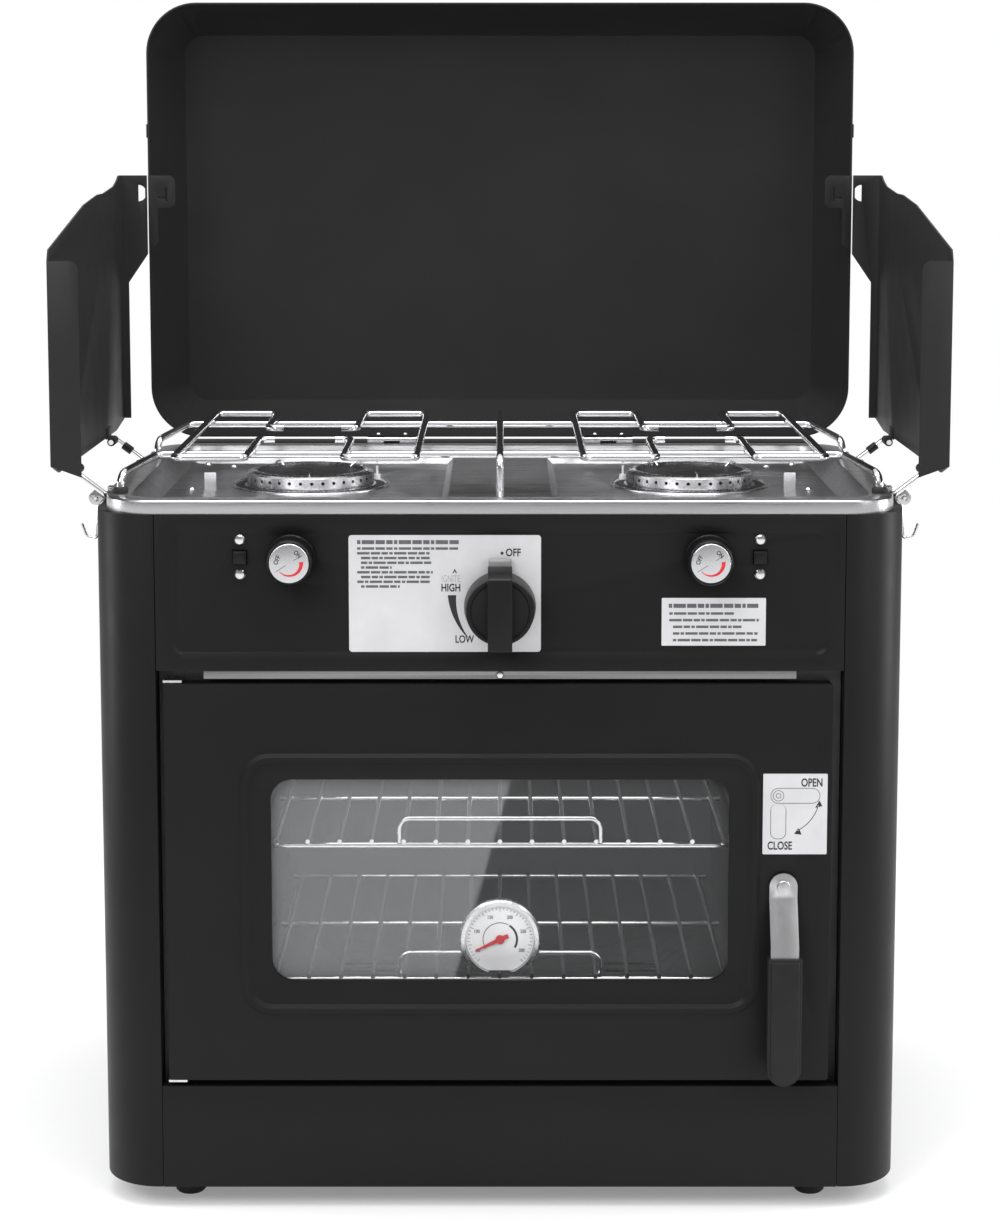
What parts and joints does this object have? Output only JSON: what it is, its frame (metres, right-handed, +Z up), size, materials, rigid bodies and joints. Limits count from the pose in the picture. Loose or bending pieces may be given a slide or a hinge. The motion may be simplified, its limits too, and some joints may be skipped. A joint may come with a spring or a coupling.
{
  "type": "camp oven with two-burner hob",
  "caption": "Portable gas camp oven with a glazed door, a two-burner hob, a hinged lid and windscreens that fold in.",
  "frame": {"origin": "on the floor, under the middle of the box round the part", "axes": "+X to the right and +Y to the back as seen from the front, +Z up"},
  "size_m": [0.569, 0.3886, 0.791],
  "materials": {
    "black_paint": "satin black powder coat",
    "stainless": "brushed stainless sheet",
    "chrome_wire": "bright plated wire",
    "oven_enamel": "grey oven lining",
    "black_plastic": "moulded satin plastic",
    "burner_black": "blackened steel",
    "grip_rubber": "soft moulded grip",
    "valve_brass": "turned brass",
    "window_glass": "clear toughened glass",
    "dial_white": "matt white dial",
    "needle_red": "red pointer",
    "ceramic": "glazed insulator"
  },
  "bodies": {
    "cabinet": {"side_panels": "black_paint", "back_panel": "black_paint", "base_and_kick_panel": "black_paint", "fascia": "black_paint", "divider_strip": "stainless", "front_screws": "chrome_wire", "oven_liner": "oven_enamel", "oven_floor_plate": "oven_enamel", "oven_burner": "stainless", "feet": "grip_rubber", "hob_tray": "stainless", "tray_fittings": "chrome_wire", "left_burner_base": "stainless", "left_burner_ring": "chrome_wire", "left_burner_cap": "burner_black", "right_burner_base": "stainless", "right_burner_ring": "chrome_wire", "right_burner_cap": "burner_black", "igniter_electrodes": "ceramic", "grate_frame": "chrome_wire", "grate_loops": "chrome_wire", "grate_grommets": "grip_rubber", "gas_manifold": "stainless", "gas_valves": "valve_brass", "piezo_igniters": "black_plastic", "lid_hinge_lower": "stainless", "door_hinge_brackets": "stainless", "latch_wire_brackets": "stainless", "screen_pivot_clips": "stainless"},
    "oven_door": {"door_panel": "black_paint", "door_liner": "oven_enamel", "door_glass": "window_glass"},
    "lever": {"door_lever": "stainless", "lever_grip": "grip_rubber", "lever_cam": "stainless"},
    "lid": {"lid_shell": "black_paint", "lid_hinge_upper": "stainless", "lid_catches": "black_paint"},
    "left_wire": {"left_screen_wire": "chrome_wire"},
    "right_wire": {"right_screen_wire": "chrome_wire"},
    "left_screen": {"left_windscreen": "black_paint"},
    "right_screen": {"right_windscreen": "black_paint"},
    "oven_control": {"oven_knob": "black_plastic", "oven_spindle": "stainless"},
    "left_control": {"left_knob": "black_plastic", "left_knob_disc": "stainless", "left_spindle": "stainless"},
    "right_control": {"right_knob": "black_plastic", "right_knob_disc": "stainless", "right_spindle": "stainless"},
    "left_button": {"left_igniter_button": "black_plastic"},
    "right_button": {"right_igniter_button": "black_plastic"},
    "left_latch": {"left_latch_wire": "chrome_wire"},
    "right_latch": {"right_latch_wire": "chrome_wire"},
    "upper_shelf": {"upper_rack": "chrome_wire"},
    "lower_shelf": {"lower_rack": "chrome_wire", "thermometer_case": "stainless", "thermometer_dial": "dial_white"},
    "dial_needle": {"thermometer_needle": "needle_red"}
  },
  "joints": [
    {"name": "lid_fold", "type": "hinge", "parent": "cabinet", "child": "lid", "pos_m": [0, 0.13965, 0.4684], "axis": [1, 0, 0], "range_deg": [0, 90]},
    {"name": "left_wire_swing", "type": "hinge", "parent": "cabinet", "child": "left_wire", "pos_m": [-0.257, 0, 0.4615], "axis": [0, -1, 0], "range_deg": [-70, 0]},
    {"name": "left_screen_fold", "type": "hinge", "parent": "left_wire", "child": "left_screen", "pos_m": [-0.2775, 0, 0.477], "axis": [0, -1, 0], "range_deg": [-12, 0]},
    {"name": "right_wire_swing", "type": "hinge", "parent": "cabinet", "child": "right_wire", "pos_m": [0.257, 0, 0.4615], "axis": [0, 1, 0], "range_deg": [-70, 0]},
    {"name": "right_screen_fold", "type": "hinge", "parent": "right_wire", "child": "right_screen", "pos_m": [0.2775, 0, 0.477], "axis": [0, 1, 0], "range_deg": [-12, 0]},
    {"name": "door_swing", "type": "hinge", "parent": "cabinet", "child": "oven_door", "pos_m": [-0.2095, -0.16175, 0.2173], "axis": [0, 0, -1], "range_deg": [0, 105]},
    {"name": "lever_turn", "type": "hinge", "parent": "oven_door", "child": "lever", "pos_m": [0.182, -0.16775, 0.216], "axis": [0, -1, 0], "range_deg": [0, 90]},
    {"name": "oven_knob_turn", "type": "hinge", "parent": "cabinet", "child": "oven_control", "pos_m": [0, -0.17675, 0.398], "axis": [0, -1, 0], "range_deg": [0, 150]},
    {"name": "left_knob_turn", "type": "hinge", "parent": "cabinet", "child": "left_control", "pos_m": [-0.1325, -0.17675, 0.4285], "axis": [0, -1, 0], "range_deg": [0, 180]},
    {"name": "right_knob_turn", "type": "hinge", "parent": "cabinet", "child": "right_control", "pos_m": [0.1325, -0.17675, 0.4285], "axis": [0, -1, 0], "range_deg": [0, 180]},
    {"name": "left_button_press", "type": "slide", "parent": "cabinet", "child": "left_button", "axis": [0, 1, 0], "range_m": [0, 0.003], "stiffness_N_per_m": 300},
    {"name": "right_button_press", "type": "slide", "parent": "cabinet", "child": "right_button", "axis": [0, 1, 0], "range_m": [0, 0.003], "stiffness_N_per_m": 300},
    {"name": "left_latch_swing", "type": "hinge", "parent": "cabinet", "child": "left_latch", "pos_m": [-0.266, -0.09375, 0.458], "axis": [0, 1, 0], "range_deg": [0, 110]},
    {"name": "right_latch_swing", "type": "hinge", "parent": "cabinet", "child": "right_latch", "pos_m": [0.266, -0.09375, 0.458], "axis": [0, -1, 0], "range_deg": [0, 110]},
    {"name": "upper_rack_slide", "type": "slide", "parent": "cabinet", "child": "upper_shelf", "axis": [0, -1, 0], "range_m": [0, 0.02]},
    {"name": "lower_rack_slide", "type": "slide", "parent": "cabinet", "child": "lower_shelf", "axis": [0, -1, 0], "range_m": [0, 0.018]},
    {"name": "needle_turn", "type": "hinge", "parent": "lower_shelf", "child": "dial_needle", "pos_m": [0, -0.13175, 0.169], "axis": [0, 1, 0], "range_deg": [0, 230]}
  ]
}
